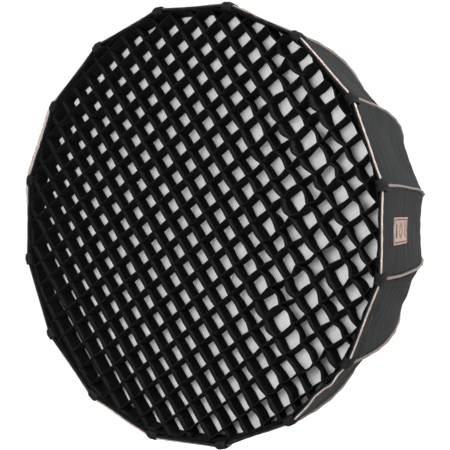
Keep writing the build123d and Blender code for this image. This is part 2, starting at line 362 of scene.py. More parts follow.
def hook_tape_material():
    """Hook-and-loop tape: a fuzzy pile."""
    material, tree, shader = new_material("hook_tape")
    pile = noise(tree, uv_axes(tree)[0], 1400.0, 3.0, 0.7)
    fill(tree, shader, {
        "Base Color": mixed(tree, pile, (0.003, 0.003, 0.0035), (0.012, 0.012, 0.013)), "Roughness": 0.95,
        "Sheen Weight": 0.05, "Specular IOR Level": 0.15,
    })
    bump(tree, shader, pile, 0.0012)
    return material


def silver_material():
    """Silver coated lining with a fine pebbled emboss."""
    material, tree, shader = new_material("silver_lining")
    vector = uv_axes(tree)[0]
    cell = add_node(tree, "TexVoronoi", {"Vector": vector, "Scale": 420.0})
    crumple = noise(tree, vector, 30.0, 4.0, 0.6)
    fill(tree, shader, {
        "Base Color": mixed(tree, crumple, (0.55, 0.55, 0.56), (0.74, 0.74, 0.75)), "Metallic": 0.6,
        "Roughness": ramp(tree, crumple, 0.3, 0.7, 0.32, 0.5),
    })
    pebbled = bump(tree, shader, cell.outputs["Distance"], 0.0004, 0.7)
    bump(tree, shader, crumple, 0.003, 0.5, pebbled)
    return material


def diffusion_material():
    """White diffusion cloth: fine weave with faint slanting ribs, slightly see-through to light."""
    material, tree, shader = new_material("diffusion_cloth")
    vector, across, along = uv_axes(tree)
    weave = plain_weave(tree, across, along, 0.0007)
    slant = add_node(tree, "SeparateXYZ", {"Vector": turned(tree, vector, math.radians(28))})
    wander = maths(tree, "MULTIPLY", noise(tree, vector, 60.0, 2.0), 0.004)
    ribs = threads(tree, maths(tree, "ADD", slant.outputs[0], wander), 0.0042)
    shade = plus(tree, blend(tree, ribs, 0.45, noise(tree, vector, 25.0), 0.4), weave, 0.15)
    colour = mixed(tree, shade, (0.45, 0.45, 0.45), (0.88, 0.88, 0.88))
    fill(tree, shader, {"Base Color": colour, "Roughness": 0.85, "Sheen Weight": 0.2})
    bump(tree, shader, maths(tree, "ADD", weave, ribs), 0.0002)
    translucent = add_node(tree, "BsdfTranslucent", {"Color": (0.85, 0.85, 0.85)})
    mix = add_node(tree, "MixShader", {0: 0.3, 1: shader.outputs[0], 2: translucent.outputs[0]})
    fill(tree, tree.nodes["Material Output"], {"Surface": mix.outputs[0]})
    return material


def rose_tape_material(name, dark, light, crown):
    """Rose-gold satin binding: fine cross ribs, a soft lustre and painted shade darkening it beyond its crown."""
    material, tree, shader = new_material(name)
    vector, across, along = uv_axes(tree)
    ribs = threads(tree, along, 0.0011)
    wear = noise(tree, vector, 55.0, 4.0, 0.65)
    shade = blend(tree, ribs, 0.35, wear, 0.6)
    # painted shade: the colour darkens beyond the lit crown, on a tape's flanks and on the piping's far side
    painted_side_shade = ramp(tree, maths(tree, "ABSOLUTE", across), crown, crown * 2.2, 1.0, 0.35)
    fill(tree, shader, {
        "Base Color": mixed(tree, maths(tree, "MULTIPLY", shade, painted_side_shade), dark, light),
        "Roughness": ramp(tree, wear, 0.3, 0.7, 0.42, 0.6), "Sheen Weight": 0.06, "Specular IOR Level": 0.25,
    })
    bump(tree, shader, ribs, 0.00025)
    return material


def label_material():
    """Woven patch: a sewn frame, a ring of sixteen rays and a plain bar on each side of it."""
    material, tree, shader = new_material("woven_label")
    vector, across, along = uv_axes(tree)
    middle, half_length = sum(LABEL_RUN) / 2, (LABEL_RUN[1] - LABEL_RUN[0]) / 2
    length = maths(tree, "SUBTRACT", along, middle)
    off_middle, off_line = maths(tree, "ABSOLUTE", length), maths(tree, "ABSOLUTE", across)
    to_end = maths(tree, "SUBTRACT", half_length, off_middle)
    to_side = maths(tree, "SUBTRACT", LABEL_HALF, off_line)
    frame_line = near(tree, maths(tree, "MINIMUM", to_end, to_side), 0.0045, 0.0011)
    around = maths(tree, "ARCTAN2", across, length)
    rays = ramp(tree, maths(tree, "SINE", maths(tree, "MULTIPLY", around, SIDES)), -0.2, 0.2)
    squares = [maths(tree, "MULTIPLY", value, value) for value in (across, length)]
    ring = near(tree, maths(tree, "SQRT", maths(tree, "ADD", *squares)), 0.0125, 0.0045)
    bar_width = ramp(tree, off_line, 0.0135, 0.0145, 1.0, 0.0)
    bar = maths(tree, "MULTIPLY", near(tree, off_middle, 0.036, 0.0045), bar_width)
    lines = maths(tree, "MAXIMUM", frame_line, bar)
    drawn = maths(tree, "MAXIMUM", lines, maths(tree, "MULTIPLY", ring, rays))
    patchy = ramp(tree, noise(tree, vector, 90.0), 0.3, 0.7)
    ground = mixed(tree, patchy, (0.010, 0.0095, 0.0095), (0.020, 0.018, 0.018))
    figure = mixed(tree, patchy, (0.11, 0.075, 0.062), (0.18, 0.125, 0.104))
    colour = mixed(tree, drawn, figure, ground)
    fill(tree, shader, {"Base Color": colour, "Roughness": 0.7, "Specular IOR Level": 0.15})
    bump(tree, shader, plus(tree, plain_weave(tree, across, along, 0.0008), drawn, -1.5), 0.0003)
    return material


def thread_material():
    """Sewing thread with its twist."""
    material, tree, shader = new_material("thread")
    _, across, along = uv_axes(tree)
    twist = threads(tree, maths(tree, "ADD", across, along), 0.0006)
    colour = mixed(tree, twist, (0.012, 0.011, 0.011), (0.05, 0.045, 0.042))
    fill(tree, shader, {"Base Color": colour, "Roughness": 0.6})
    bump(tree, shader, twist, 0.0001)
    return material


def rough_part_material(name, dark, light, roughness, metallic=0.0):
    """Moulded or machined part in object coordinates: surface grain, scuffs and uneven gloss."""
    material, tree, shader = new_material(name)
    place = add_node(tree, "TexCoord").outputs["Object"]
    grain = noise(tree, place, 2200.0, 2.0)
    scuff = noise(tree, place, 70.0, 5.0, 0.7)
    fill(tree, shader, {
        "Base Color": mixed(tree, scuff, dark, light), "Metallic": metallic,
        "Roughness": ramp(tree, scuff, 0.3, 0.7, roughness - 0.1, roughness + 0.1),
    })
    bump(tree, shader, plus(tree, grain, scuff, 0.6), 0.00008)
    return material


# ---- mesh helpers


def grid_faces(rows, columns, start=0, flip=False, wrap=False):
    """Quads over a rows x columns array of points; wrap joins the last column to the first."""
    faces = []
    for i in range(rows - 1):
        for j in range(columns if wrap else columns - 1):
            k = (j + 1) % columns
            quad = (i * columns + j, i * columns + k, (i + 1) * columns + k, (i + 1) * columns + j)
            quad = tuple(start + q for q in quad)
            faces.append(quad[::-1] if flip else quad)
    return faces


EDGE = 2  # the material slot of a sheet's cut edges, where it has its own
THREAD = 1  # the material slot of a piece's stitches
CREASE = math.radians(50)


class Builder:
    """Collects points, faces, across-and-along coordinates and material slots for one piece."""

    def __init__(self):
        self.points, self.uvs, self.faces, self.slots = [], [], [], []
        self.count = 0

    def add(self, points, uvs, faces, slots=0):
        """Adds points and faces, with one material slot or a list of them for the faces."""
        self.points.append(np.asarray(points, float).reshape(-1, 3))
        self.uvs.append(np.asarray(uvs, float).reshape(-1, 2))
        self.faces += [tuple(self.count + i for i in face) for face in faces]
        self.slots += slots if isinstance(slots, list) else [slots] * len(faces)
        self.count += len(self.points[-1])

    def sheet(self, outer, inner, uvs, slots=(0, 0, 0)):
        """Closed sheet between two rows x columns arrays of points: outside, inside and edge."""
        rows, columns = outer.shape[:2]
        size = rows * columns
        outside, inside = grid_faces(rows, columns), grid_faces(rows, columns, size, flip=True)
        rim = [i * columns for i in range(rows)] + [(rows - 1) * columns + j for j in range(1, columns)]
        rim += [i * columns + columns - 1 for i in range(rows - 2, -1, -1)] + list(range(columns - 2, 0, -1))
        edge = [(rim[i], rim[i - 1], rim[i - 1] + size, rim[i] + size) for i in range(len(rim))]
        of_faces = [slot for slot, part in zip(slots, (outside, inside, edge)) for _ in part]
        self.add([outer, inner], [uvs, uvs], outside + inside + edge, of_faces)
        return self

    def tube(self, rings, uvs):
        """Capped tube through rings of points (stations x around x 3)."""
        stations, around = rings.shape[:2]
        faces = grid_faces(stations, around, wrap=True) + [tuple(range(around))[::-1]]
        faces.append(tuple((stations - 1) * around + i for i in range(around)))
        self.add(rings, uvs, faces)
        return self

    def piece(self, name, materials, body, slot, normals=None):
        mesh = bpy.data.meshes.new(name)
        mesh.from_pydata([tuple(p) for p in np.concatenate(self.points)], [], self.faces)
        solid = bmesh.new()
        solid.from_mesh(mesh)
        bmesh.ops.recalc_face_normals(solid, faces=solid.faces)
        solid.to_mesh(mesh)
        solid.free()
        layer = mesh.uv_layers.new(name="cloth")
        corner_points = np.zeros(len(mesh.loops), np.int32)
        mesh.loops.foreach_get("vertex_index", corner_points)
        layer.data.foreach_set("uv", np.concatenate(self.uvs).astype(np.float32)[corner_points].ravel())
        for material in materials:
            mesh.materials.append(material)
        mesh.polygons.foreach_set("material_index", np.asarray(self.slots, np.int32))
        mesh.shade_smooth()
        mesh.set_sharp_from_angle(angle=CREASE)
        if normals is not None:  # the cut edges keep Blender's own
            own = normals[corner_points]
            sizes = [len(face.vertices) for face in mesh.polygons]
            own[np.repeat(np.array(self.slots) == EDGE, sizes)] = 0.0
            mesh.normals_split_custom_set(own.tolist())
        mesh.update()
        piece = bpy.data.objects.new(name, mesh)
        bpy.context.scene.collection.objects.link(piece)
        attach(piece, body)
        return piece


def at_run(place, run, rows):
    """A row of values at a place along a run."""
    return np.array([np.interp(place, run, column) for column in rows.T])


def stitches(builder, path, normals, side, length, pitch, width):
    """Small raised dashes of thread along a path, one each pitch."""
    steps = np.linalg.norm(np.diff(path, axis=0), axis=1)
    run = np.concatenate([[0], np.cumsum(steps)])
    for start in np.arange(pitch / 2, run[-1] - length, pitch):
        ends = [at_run(s, run, path) for s in (start, start + length)]
        normal = at_run(start, run, normals)
        middle = (ends[0] + ends[1]) / 2
        a, b = side * width / 2, normal * width * 0.55
        points = [ends[0], middle + a, middle + b, middle - a, ends[1]]
        faces = [(0, 2, 1), (0, 3, 2), (4, 1, 2), (4, 2, 3)]
        builder.add(points, [(start, 0)] * 5, faces, THREAD)


# ---- the shell's gores

CLOTH = 0.0008
SAG = 0.0085  # deepest sag between the ribs
SAG_RUN, SAG_SPREAD = 0.190, 0.110  # where it is deepest behind the rim, and how far it spreads
BOW = 0.004  # inward bow of the whole gore
PUCKER_HEIGHT = 0.0007
CALM = 0.35  # share of the folds on the label's gore, which is drawn flat
rng = np.random.default_rng(7)
# Each gore's crosswise folds: height, how close they lie, slant and phase.
FOLD_RANGES = ((0.0005, 0.0012), (0.8, 3.0), (-1.6, 1.6), (0, 2 * math.pi))
FOLDS = {gore: [[rng.uniform(*ends) for ends in FOLD_RANGES] for _ in range(4)] for gore in range(SIDES)}
PUCKER = {gore: rng.uniform(0, 2 * math.pi, 6) for gore in range(SIDES)}


def gore_dip(gore, run, across):
    """How far the cloth of a gore lies under its flat panel; across is -1 to 1, rib to rib."""
    along = run / CUFF_RUN
    free = 1 - across**2
    dip = free * (SAG * np.exp(-(((run - SAG_RUN) / SAG_SPREAD) ** 2)) * np.clip(run / 0.05, 0, 1))
    dip += free * BOW * np.sin(math.pi * np.clip(along, 0, 1))
    calm = CALM if gore % SIDES == 0 else 1.0
    for height, close, slant, phase in FOLDS[gore % SIDES]:
        crest = np.sin(slant * 1.6 * across + 2 * math.pi * (9 + 7 * close) * run + phase)
        dip += calm * height * crest * free * (0.25 + 0.75 * np.clip(along * 3, 0, 1))
    if gore % SIDES == SIDES - 1:  # slanting drag lines on the gore beside the label's
        dip += 0.0014 * free * np.sin(7.5 * across + 30 * run + 1.0) * np.clip(run / 0.05, 0, 1)
    phases = PUCKER[gore % SIDES]
    from_rib = 1 - np.abs(across)
    at_seam = np.exp(-from_rib / 0.16) * (1 - np.exp(-from_rib / 0.03))
    turns = 2 * math.pi * run
    gather = np.sin(turns / 0.026 + phases[0]) + 0.7 * np.sin(turns / 0.017 + phases[1])
    dip += PUCKER_HEIGHT * at_seam * gather
    strain = np.sin(2 * math.pi * across * 2.6 + phases[2]) * np.clip((along - 0.25) * 2, 0, 1)
    return dip + PUCKER_HEIGHT * strain * free


def gore_point(gore, run, across, inset=0.0):
    """Points of a gore's outer surface, moved inwards by an inset."""
    radius, y, heading = rib_state(run)
    x, z = radius * math.cos(HALF), across * radius * math.sin(HALF)
    drop = gore_dip(gore, run, across) + inset
    x, y = x - drop * np.cos(heading), y - drop * np.sin(heading)
    return placed(x, y, z, 2 * HALF * gore)


def folded_width(run):
    """Share of its width that a gore keeps at a run length when the rods have closed."""
    fold = frame["joints"][0]
    pivot = Vector(fold["pos_m"])
    pivot_radius, angle = math.hypot(pivot.x, pivot.z), math.radians(fold["range_deg"][1])
    radius, y, _ = rib_state(run)
    dx, dy = radius - pivot_radius, y - pivot.y
    closed = pivot_radius + dx * np.cos(angle) + dy * np.sin(angle)
    valley = 1 - math.cos(HALF) ** 2
    return float(np.clip((closed - valley * radius) / (radius * (1 - valley)), 0.03, 1.0)[0])


# Where the shell is split along its run.
BANDS = [
    0.0, 0.03, 0.06, 0.09, 0.125, 0.16, 0.20, 0.24, 0.28, 0.33, 0.38, 0.43, 0.49, 0.55, 0.61, 0.66, CUFF_RUN,
]
RUN_STEP = 0.006
ACROSS = 15  # points over a half gore's width


def close_with_rods(piece, keep):
    """Gives the piece its own copy of its mesh; keep, a share of its width, is not used."""
    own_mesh(piece)


GORE_OFFSET = 0.37  # between two gores' cloth coordinates, so that no two gores look the same


def petal_half(gore, run, across):
    """Outer points, inner points, coordinates and outward normals over arrays of run and across."""
    runs, sides = np.meshgrid(run, across, indexing="ij")

    def points(more_run=0.0, more_across=0.0, inset=0.0):
        flat = gore_point(gore, runs.ravel() + more_run, sides.ravel() + more_across, inset)
        return flat.reshape(*runs.shape, 3)

    # outward normals from central differences, so that neighbouring bands shade as one cloth
    along = points(more_run=0.001) - points(more_run=-0.001)
    beside = points(more_across=0.004) - points(more_across=-0.004)
    normal = np.cross(along, beside)
    normal /= np.linalg.norm(normal, axis=-1, keepdims=True)
    width = rib_state(runs.ravel())[0].reshape(runs.shape) * math.sin(HALF)
    uvs = spread(sides * width + gore % SIDES * GORE_OFFSET, runs)
    return points(), points(inset=CLOTH), uvs, normal


def add_shell(shell, silver):
    """Each rib's half gores on its two sides, in bands."""
    for rib in RIBS:
        for band, (start, end) in enumerate(zip(BANDS, BANDS[1:]), 1):
            run = np.linspace(start, end, max(3, round((end - start) / RUN_STEP)))
            left = petal_half(rib - 1, run, np.linspace(0, 1, ACROSS))
            right = petal_half(rib, run, np.linspace(-1, 0, ACROSS))
            outer, inner, uvs, normals = (
                np.concatenate([a, b[:, 1:]], axis=1) for a, b in zip(left, right)
            )
            normals = normals.reshape(-1, 3)
            builder = Builder().sheet(outer, inner, uvs, (0, 1, EDGE))
            piece = builder.piece(
                f"shell_{rib:02d}_{band:02d}", [shell, silver, shell], arm(rib), "black_shell_cloth",
                normals=np.concatenate([normals, -normals]),
            )
            close_with_rods(piece, folded_width((start + end) / 2))
            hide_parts("outer_shell")
            width = 2 * math.sin(HALF) * float(rib_state(start)[0][0])
            2 * math.sin(HALF) * float(np.mean(rib_state(run)[0])) * (end - start)


# ---- seam tapes, pockets and piping


SEAM_STITCH = (0.0026, 0.0040, 0.0009)  # length, pitch and width
POCKET_STITCH = (0.0024, 0.0034, 0.0007)


def on_rib(rib, state, up, side, back=0.0):
    """Points over rows x columns, up from a rib's line, to its side and back along the axis."""
    radius, y, heading = state
    return placed(radius + up * np.cos(heading), y + up * np.sin(heading) + back, side, rib_angle(rib))


def add_seam_tapes(rose, thread):
    """A padded binding down each rib, wide where it leaves the pocket, with a stitch line each side."""
    run = np.linspace(0.020, CUFF_RUN - 0.004, 150)
    around = np.linspace(0, math.pi, 11)
    state = [values[:, None] for values in rib_state(run)]
    lift = state[2][:, 0]
    for rib in RIBS:
        shift = rng.uniform(0, 2 * math.pi, 3)
        flare = np.exp(-(run - 0.02) / 0.05)
        half = 0.0021 + 0.0014 * flare + 0.0002 * np.sin(run * 300 + shift[0])
        rise = 0.0046 + 0.0005 * np.sin(run * 90 + shift[1]) - 0.0014 * flare
        wander = 0.0006 * np.sin(run * 40 + shift[2])
        side = half[:, None] * np.cos(around) + wander[:, None]
        up = rise[:, None] * np.sin(around) ** 0.7 - 0.0008
        up -= np.abs(side) * math.tan(HALF) * 0.9
        builder = Builder().tube(on_rib(rib, state, up, side), spread(side, run[:, None]))
        normals = placed(np.cos(lift), np.sin(lift), 0 * lift, rib_angle(rib))
        across = np.array(tangential(rib_angle(rib)))
        for sign in (-1, 1):
            offset = (sign * (half + 0.0010) + wander)[:, None]
            path = on_rib(rib, state, 0.0003 - np.abs(offset) * math.tan(HALF) * 0.9, offset)[:, 0]
            stitches(builder, path, normals, across, *SEAM_STITCH)
        piece = builder.piece(f"seam_tape_{rib:02d}", [rose, thread], arm(rib), "rose_gold_tape")
        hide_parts("seam_tape")


POCKET_THICK = 0.0013
POCKET_KEPT = 0.4  # share of a pocket's width that is left when closed
POCKET_FRONT = 12  # rows of a pocket's cloth on its outside, which carry the stitches


def add_pockets(webbing, thread):
    """A folded cloth pocket over each rod tip, round the rim's corner."""
    route = np.array(
        [(0.026, -0.0010), (0.022, -0.0026), (0.012, -0.0036), (0.002, -0.0036), (-0.0030, -0.0020),
         (-0.0045, 0.0035), (-0.0030, 0.0090), (0.004, 0.0110), (0.014, 0.0108), (0.020, 0.0100)]
    )  # run behind the rim and inset, from the outside round the front to the inside
    steps = np.linspace(0, len(route) - 1, 34)
    run = np.interp(steps, range(len(route)), route[:, 0])
    inset = np.interp(steps, range(len(route)), route[:, 1])
    for _ in range(2):
        run[1:-1] = (run[:-2] + 2 * run[1:-1] + run[2:]) / 4
        inset[1:-1] = (inset[:-2] + 2 * inset[1:-1] + inset[2:]) / 4
    sides = np.linspace(-1, 1, 17)
    state = [values[:, None] for values in rib_state(run)]
    for rib in RIBS:
        seed = rng.uniform(0, 2 * math.pi, 3)
        ends = np.clip(np.minimum(steps, len(route) - 1 - steps) / 1.2, 0, 1)
        width = 0.0085 + 0.0030 * np.sqrt(1 - (1 - ends) ** 2) + 0.0005 * np.sin(steps * 0.9 + seed[0])
        side = width[:, None] * sides
        puff = 0.0012 * (1 - sides**6) + 0.0004 * np.sin(5 * sides + seed[1] + steps[:, None])
        sheets = []
        for layer in (0.0, POCKET_THICK):
            drop = inset[:, None] - puff * np.sign(0.004 - inset[:, None])
            drop = drop + np.abs(side) * math.tan(HALF) * 0.8
            drop = drop + layer * np.sign(0.004 - inset[:, None] + 1e-9)
            back = layer * np.exp(-((run[:, None] + 0.006) / 0.004) ** 2)  # keeps its thickness at the fold
            sheets.append(on_rib(rib, state, -drop, side, back))
        builder = Builder().sheet(*sheets, spread(side, (steps * 0.0016)[:, None]))
        normals = np.tile(np.array(radial(rib_angle(rib))), (POCKET_FRONT, 1))
        across = np.array(tangential(rib_angle(rib)))
        for column in (2, 14):
            path = sheets[0][:POCKET_FRONT, column] + normals * 0.0002
            stitches(builder, path, normals, across, *POCKET_STITCH)
        piece = builder.piece(f"pocket_{rib:02d}", [webbing, thread], arm(rib), "black_webbing")
        close_with_rods(piece, POCKET_KEPT)
        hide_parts("corner_pockets")


PIPING = 0.0017  # radius of the rim piping
ROLL = 0.0024  # radius of the hem's roll
ROLL_CENTRE = (0.0026, 0.0008)  # inset and back from the rim's edge line
PIPING_GAP = 0.0115  # from the corner to the piping's end
FULL_SIDES = {7: 1.65, 8: 1.5}  # sides where the piping is puffed out
RIPPLED_SIDE = 14  # the lower right side, where the tape is slack
SIDE_LENGTH = 2 * RIM_RADIUS * math.sin(HALF)
# Where the piping lies round the hem's roll, in degrees behind straight outwards, at each side's first
# end, middle and last end.
PIPING_ROLL = [
    (-8, -12, -8), (-8, -10, -8), (-5, -5, -5), (20, 38, 30), (5, 70, 15), (10, 75, 10), (10, 75, -35),
    (-40, -50, -45), (-45, 40, 20), (40, 70, 60), (60, 45, -20), (-20, -25, -20), (-20, 5, 30), (45, 70, 0),
    (-20, -10, -10), (-10, -12, -10),
]


def rim_wave(gore, across):
    """Outward and forward sway of the rim's cloth edge, zero at both corners."""
    phases = PUCKER[gore % SIDES]
    free = 1 - across**2
    out = 0.0006 * np.sin(3.1 * across + phases[3]) * free - 0.0008 * free
    forward = 0.0008 * np.sin(4.3 * across + phases[4]) * free
    if gore % SIDES == RIPPLED_SIDE:
        out += 0.0055 * np.exp(-(((across - 0.42) / 0.17) ** 2))
        out -= 0.0025 * np.exp(-(((across + 0.12) / 0.2) ** 2))
        forward += 0.003 * np.exp(-(((across - 0.42) / 0.2) ** 2))
    return out, forward


def rim_section(gore, across, insets, backs):
    """Points at insets and distances back from the rim's edge line, over across values x around."""
    out, forward = rim_wave(gore, across)
    edge = (RIM_RADIUS * math.cos(HALF) + out)[:, None] - insets
    z = (across * RIM_RADIUS * math.sin(HALF))[:, None] * (1 - insets / RIM_RADIUS)
    return placed(edge, RIM_Y - forward[:, None] + backs, z, 2 * HALF * gore)


def half_sides():
    """Each rib's two half edges of the rim: rib, gore, letter and the sign of its across values."""
    for rib in RIBS:
        yield rib, rib - 1, "a", 1
        yield rib, rib, "b", -1


def add_rim_piping(rose):
    """Rose-gold piping along each edge of the rim, from pocket to pocket, beside the hem's roll."""
    reach = 1 - 2 * PIPING_GAP / SIDE_LENGTH
    turn = full_turn(12)
    for rib, gore, half, sign in half_sides():
        across = sign * np.linspace(0, reach, 40)
        lies = np.radians(np.interp(across, (-1, 0, 1), PIPING_ROLL[gore % SIDES]))
        uneven = 0.07 * np.sin(across * 23 + PUCKER[gore % SIDES][5])
        girth = PIPING * FULL_SIDES.get(gore, 1.0) * (1 + uneven + 0.25 * np.clip(-lies, 0, 1))
        girth *= np.sqrt(np.clip((reach - np.abs(across)) / 0.03, 0.2, 1))
        inset = ROLL_CENTRE[0] - (ROLL + girth * 0.7) * np.cos(lies)
        back = ROLL_CENTRE[1] + (ROLL + girth * 0.7) * np.sin(lies)
        insets = inset[:, None] - girth[:, None] * np.cos(turn)
        backs = back[:, None] + girth[:, None] * np.sin(turn)
        rings = rim_section(gore, across, insets, backs)
        builder = Builder().tube(rings, spread(turn * PIPING, (across * SIDE_LENGTH / 2)[:, None]))
        piece = builder.piece(f"rim_piping_{rib:02d}{half}", [rose], arm(rib), "rose_gold_tape")
        close_with_rods(piece, folded_width(0.0))
        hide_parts("rim_piping")


def add_rim_hem(webbing):
    """The rolled front hem and its turned-in part, which the front cloths press on to."""
    turn = np.radians(np.linspace(100, -200, 16))
    leaf_back = np.linspace(0.006, 0.032, 6)
    leaf_inset = 0.0034 + leaf_back * math.tan(RIM_HEADING) * 1.15

    def section(radius, thick):
        insets = np.concatenate([ROLL_CENTRE[0] - radius * np.cos(turn), leaf_inset - thick])
        return insets, np.concatenate([ROLL_CENTRE[1] + radius * np.sin(turn), leaf_back])

    sections = section(ROLL, 0), section(0.5 * ROLL, 0.0009)
    length = np.concatenate([[0], np.cumsum(np.hypot(*np.diff(sections[0])))])
    for rib, gore, half, sign in half_sides():
        across = sign * np.linspace(0, 1, 26)
        ripple = (0.0005 * np.sin(across * 21 + PUCKER[gore % SIDES][1]) * (1 - across**2))[:, None]
        layers = [rim_section(gore, across, inset + ripple, back - ripple) for inset, back in sections]
        builder = Builder().sheet(*layers, spread((across * SIDE_LENGTH / 2)[:, None], length))
        piece = builder.piece(f"rim_hem_{rib:02d}{half}", [webbing], arm(rib), "black_webbing")
        close_with_rods(piece, folded_width(0.0))
        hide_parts("rim_band")


# ---- label


def add_label(patch):
    """A woven patch in two halves, which part at the gore's middle."""
    run = np.linspace(*LABEL_RUN, 30)
    width = RIM_RADIUS * math.sin(HALF)
    reach = LABEL_HALF / width
    for rib, half, ends in ((16, "lower", (-reach, 0)), (1, "upper", (0, reach))):
        runs, sides = np.meshgrid(run, np.linspace(*ends, 10), indexing="ij")
        top, under = (
            gore_point(0, runs.ravel(), sides.ravel(), -lift).reshape(*runs.shape, 3) for lift in LABEL_LIFT
        )
        uvs = spread(sides * width, runs)
        builder = Builder().sheet(top, under, uvs)
        piece = builder.piece(f"label_patch_{half}", [patch], arm(rib), "rose_gold_tape")
        close_with_rods(piece, folded_width(LABEL_RUN[0]))
        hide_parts("label_patch")


# ---- rear cuff


def add_cuff(webbing):
    """Elastic hem gathered round the hub."""
    turns = SIDES * 24
    angle = full_turn(turns)
    gather = 0.0011 * np.sin(angle * 96) + 0.0006 * np.sin(angle * 57 + 1)
    section = [(0.0006, 0.0125), (0.0030, 0.0140), (0.0052, 0.0110), (0.0060, 0.0060), (0.0052, 0.0005),
               (0.0050, -0.0060), (0.0052, -0.0105), (0.0035, -0.0095), (0.0012, -0.0040),
               (0.0006, 0.0040)]  # over the hub, and back from the cuff's middle
    middle = (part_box("rear_cuff")[0].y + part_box("rear_cuff")[1].y) / 2
    rings = []
    for up, back in section:
        rings.append(round_axis(HUB_RADIUS + up + gather * (up / 0.006), middle + back, angle))
    rings = np.stack(rings + rings[:1])
    uvs = spread(angle * HUB_RADIUS, np.arange(len(rings))[:, None] * 0.004)
    builder = Builder()
    builder.add(rings, uvs, grid_faces(len(rings), turns, wrap=True))
    piece = builder.piece("elastic_cuff", [webbing], "hub", "black_webbing")
    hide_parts("rear_cuff")


# ---- front cloths


def front_reach(angle, inset=0.0):
    """Distance from the axis to the front cloths' outline in a direction."""
    sector = (angle + HALF) % (2 * HALF) - HALF
    return np.minimum((FRONT_FLAT - inset) / np.cos(sector), FRONT_ROUND - inset)


BORDER_WIDTH = 0.008
BORDER_LAP = 0.001  # how far the front cloth runs in under its border
FRONT_TURNS = SIDES * 12
FRONT_Y = front_low.y + 0.0004
BILLOW = 0.0035  # how far the front cloth's middle stands back
FRONT_THICK = 0.0005


def add_diffuser(white):
    """The stretched front cloth, with strain lines round its edge."""
    turns, rings = FRONT_TURNS, 90
    shares, angles = np.meshgrid(np.linspace(0, 1, rings) ** 0.9, full_turn(turns), indexing="ij")
    strain = 0.0014 * shares**8 * np.cos(angles * 64 + 1.3 * np.sin(angles * 5))
    billow = BILLOW * (1 - shares**2) + 0.0006 * np.sin(shares * 9 + 2 * np.sin(angles * 3))
    reach = front_reach(angles, BORDER_WIDTH - BORDER_LAP)
    points = round_axis(shares * reach, FRONT_Y + strain + billow, angles)
    uvs = points[..., ::2]
    builder = Builder()
    front = points[1:]
    under = front + np.array([0, FRONT_THICK, 0])
    size = front.shape[0] * turns
    centre = np.array([[0, FRONT_Y + BILLOW, 0], [0, FRONT_Y + BILLOW + FRONT_THICK, 0]])
    faces = grid_faces(front.shape[0], turns, wrap=True) + grid_faces(front.shape[0], turns, size, True, True)
    last = (front.shape[0] - 1) * turns
    for j in range(turns):
        k = (j + 1) % turns
        faces += [(2 * size, k, j), (2 * size + 1, size + j, size + k)]
        faces.append((last + j, last + k, size + last + k, size + last + j))
    both = np.concatenate([front.reshape(-1, 3), under.reshape(-1, 3), centre])
    coordinates = np.concatenate([uvs[1:].reshape(-1, 2)] * 2 + [np.zeros((2, 2))])
    builder.add(both, coordinates, faces)
    piece = builder.piece("front_cloth", [white], "front_diffuser_set", "white_diffusion_cloth")
    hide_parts("front_diffuser")


def add_diffuser_border(tape):
    """Black hook-and-loop border sewn round the diffuser."""
    angle = full_turn(FRONT_TURNS)
    section = [(0.0085, -0.0005), (0.0080, -0.0014), (0.0050, -0.0012), (0.0020, -0.0015), (0.0, -0.0008),
               (0.0, 0.0016), (0.0020, 0.0020), (0.0080, 0.0010)]  # inset and back
    rings = []
    for inset, back in section + section[:1]:
        wave = 0.0005 * np.sin(angle * 61 + inset * 200)
        rings.append(round_axis(front_reach(angle, inset), FRONT_Y + back + wave, angle))
    rings = np.stack(rings)
    uvs = spread(angle * FRONT_FLAT, np.arange(len(rings))[:, None] * 0.003)
    builder = Builder()
    builder.add(rings, uvs, grid_faces(len(rings), FRONT_TURNS, flip=True, wrap=True))
    piece = builder.piece("front_cloth_border", [tape], "front_diffuser_set", "black_webbing")
    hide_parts("diffuser_border")


STRIP_HALF = 0.0016
CELL_STEPS = 8
NODES = range(-12, 13)
SWAY = 0.0028  # how far a crossing strays where the grid is slack


def slackness(x):
    """How loose the grid hangs: taut on the left, slack towards the right."""
    return np.clip((x - 0.07) / 0.17, 0.0, 1.0) * 0.95 + 0.11


node_shift, wall_bow = {}, {}
for i in NODES:
    for j in NODES:
        node_shift[i, j] = rng.normal(0, 1, 4)
        wall_bow[i, j] = rng.normal(0, 1, 4)
AXIS_U = np.array([math.cos(GRID_ANGLE), math.sin(GRID_ANGLE)])
AXIS_V = np.array([-math.sin(GRID_ANGLE), math.cos(GRID_ANGLE)])


def drawn_in(x, z):
    """How far the grid's rear is pulled towards the axis, most of all at the lower left edge."""
    reach = np.hypot(x, z) + 1e-9
    lower_left = 0.5 - 0.5 * (0.8 * x + 0.6 * z) / reach
    return (0.0030 + 0.0060 * lower_left) * np.exp(-((np.maximum(FRONT_FLAT - reach, 0) / 0.10) ** 2))


def node_place(i, j, depth):
    """Where two strips cross, in the X-Z plane, at a depth from 0, front, to 1, rear."""
    base = AXIS_U * i * GRID_PITCH + AXIS_V * j * GRID_PITCH
    slack = slackness(base[0])
    shift = node_shift[i, j]
    sway = shift[:2] * (1 - depth) + shift[2:] * depth * 0.7
    reach = np.hypot(*base)
    held = 1.0 if reach < FRONT_FLAT - 0.02 else 0.0
    inwards = base / max(reach, 0.001) * drawn_in(*base) * depth
    return base + np.clip(sway, -1.8, 1.8) * SWAY * slack * held - inwards


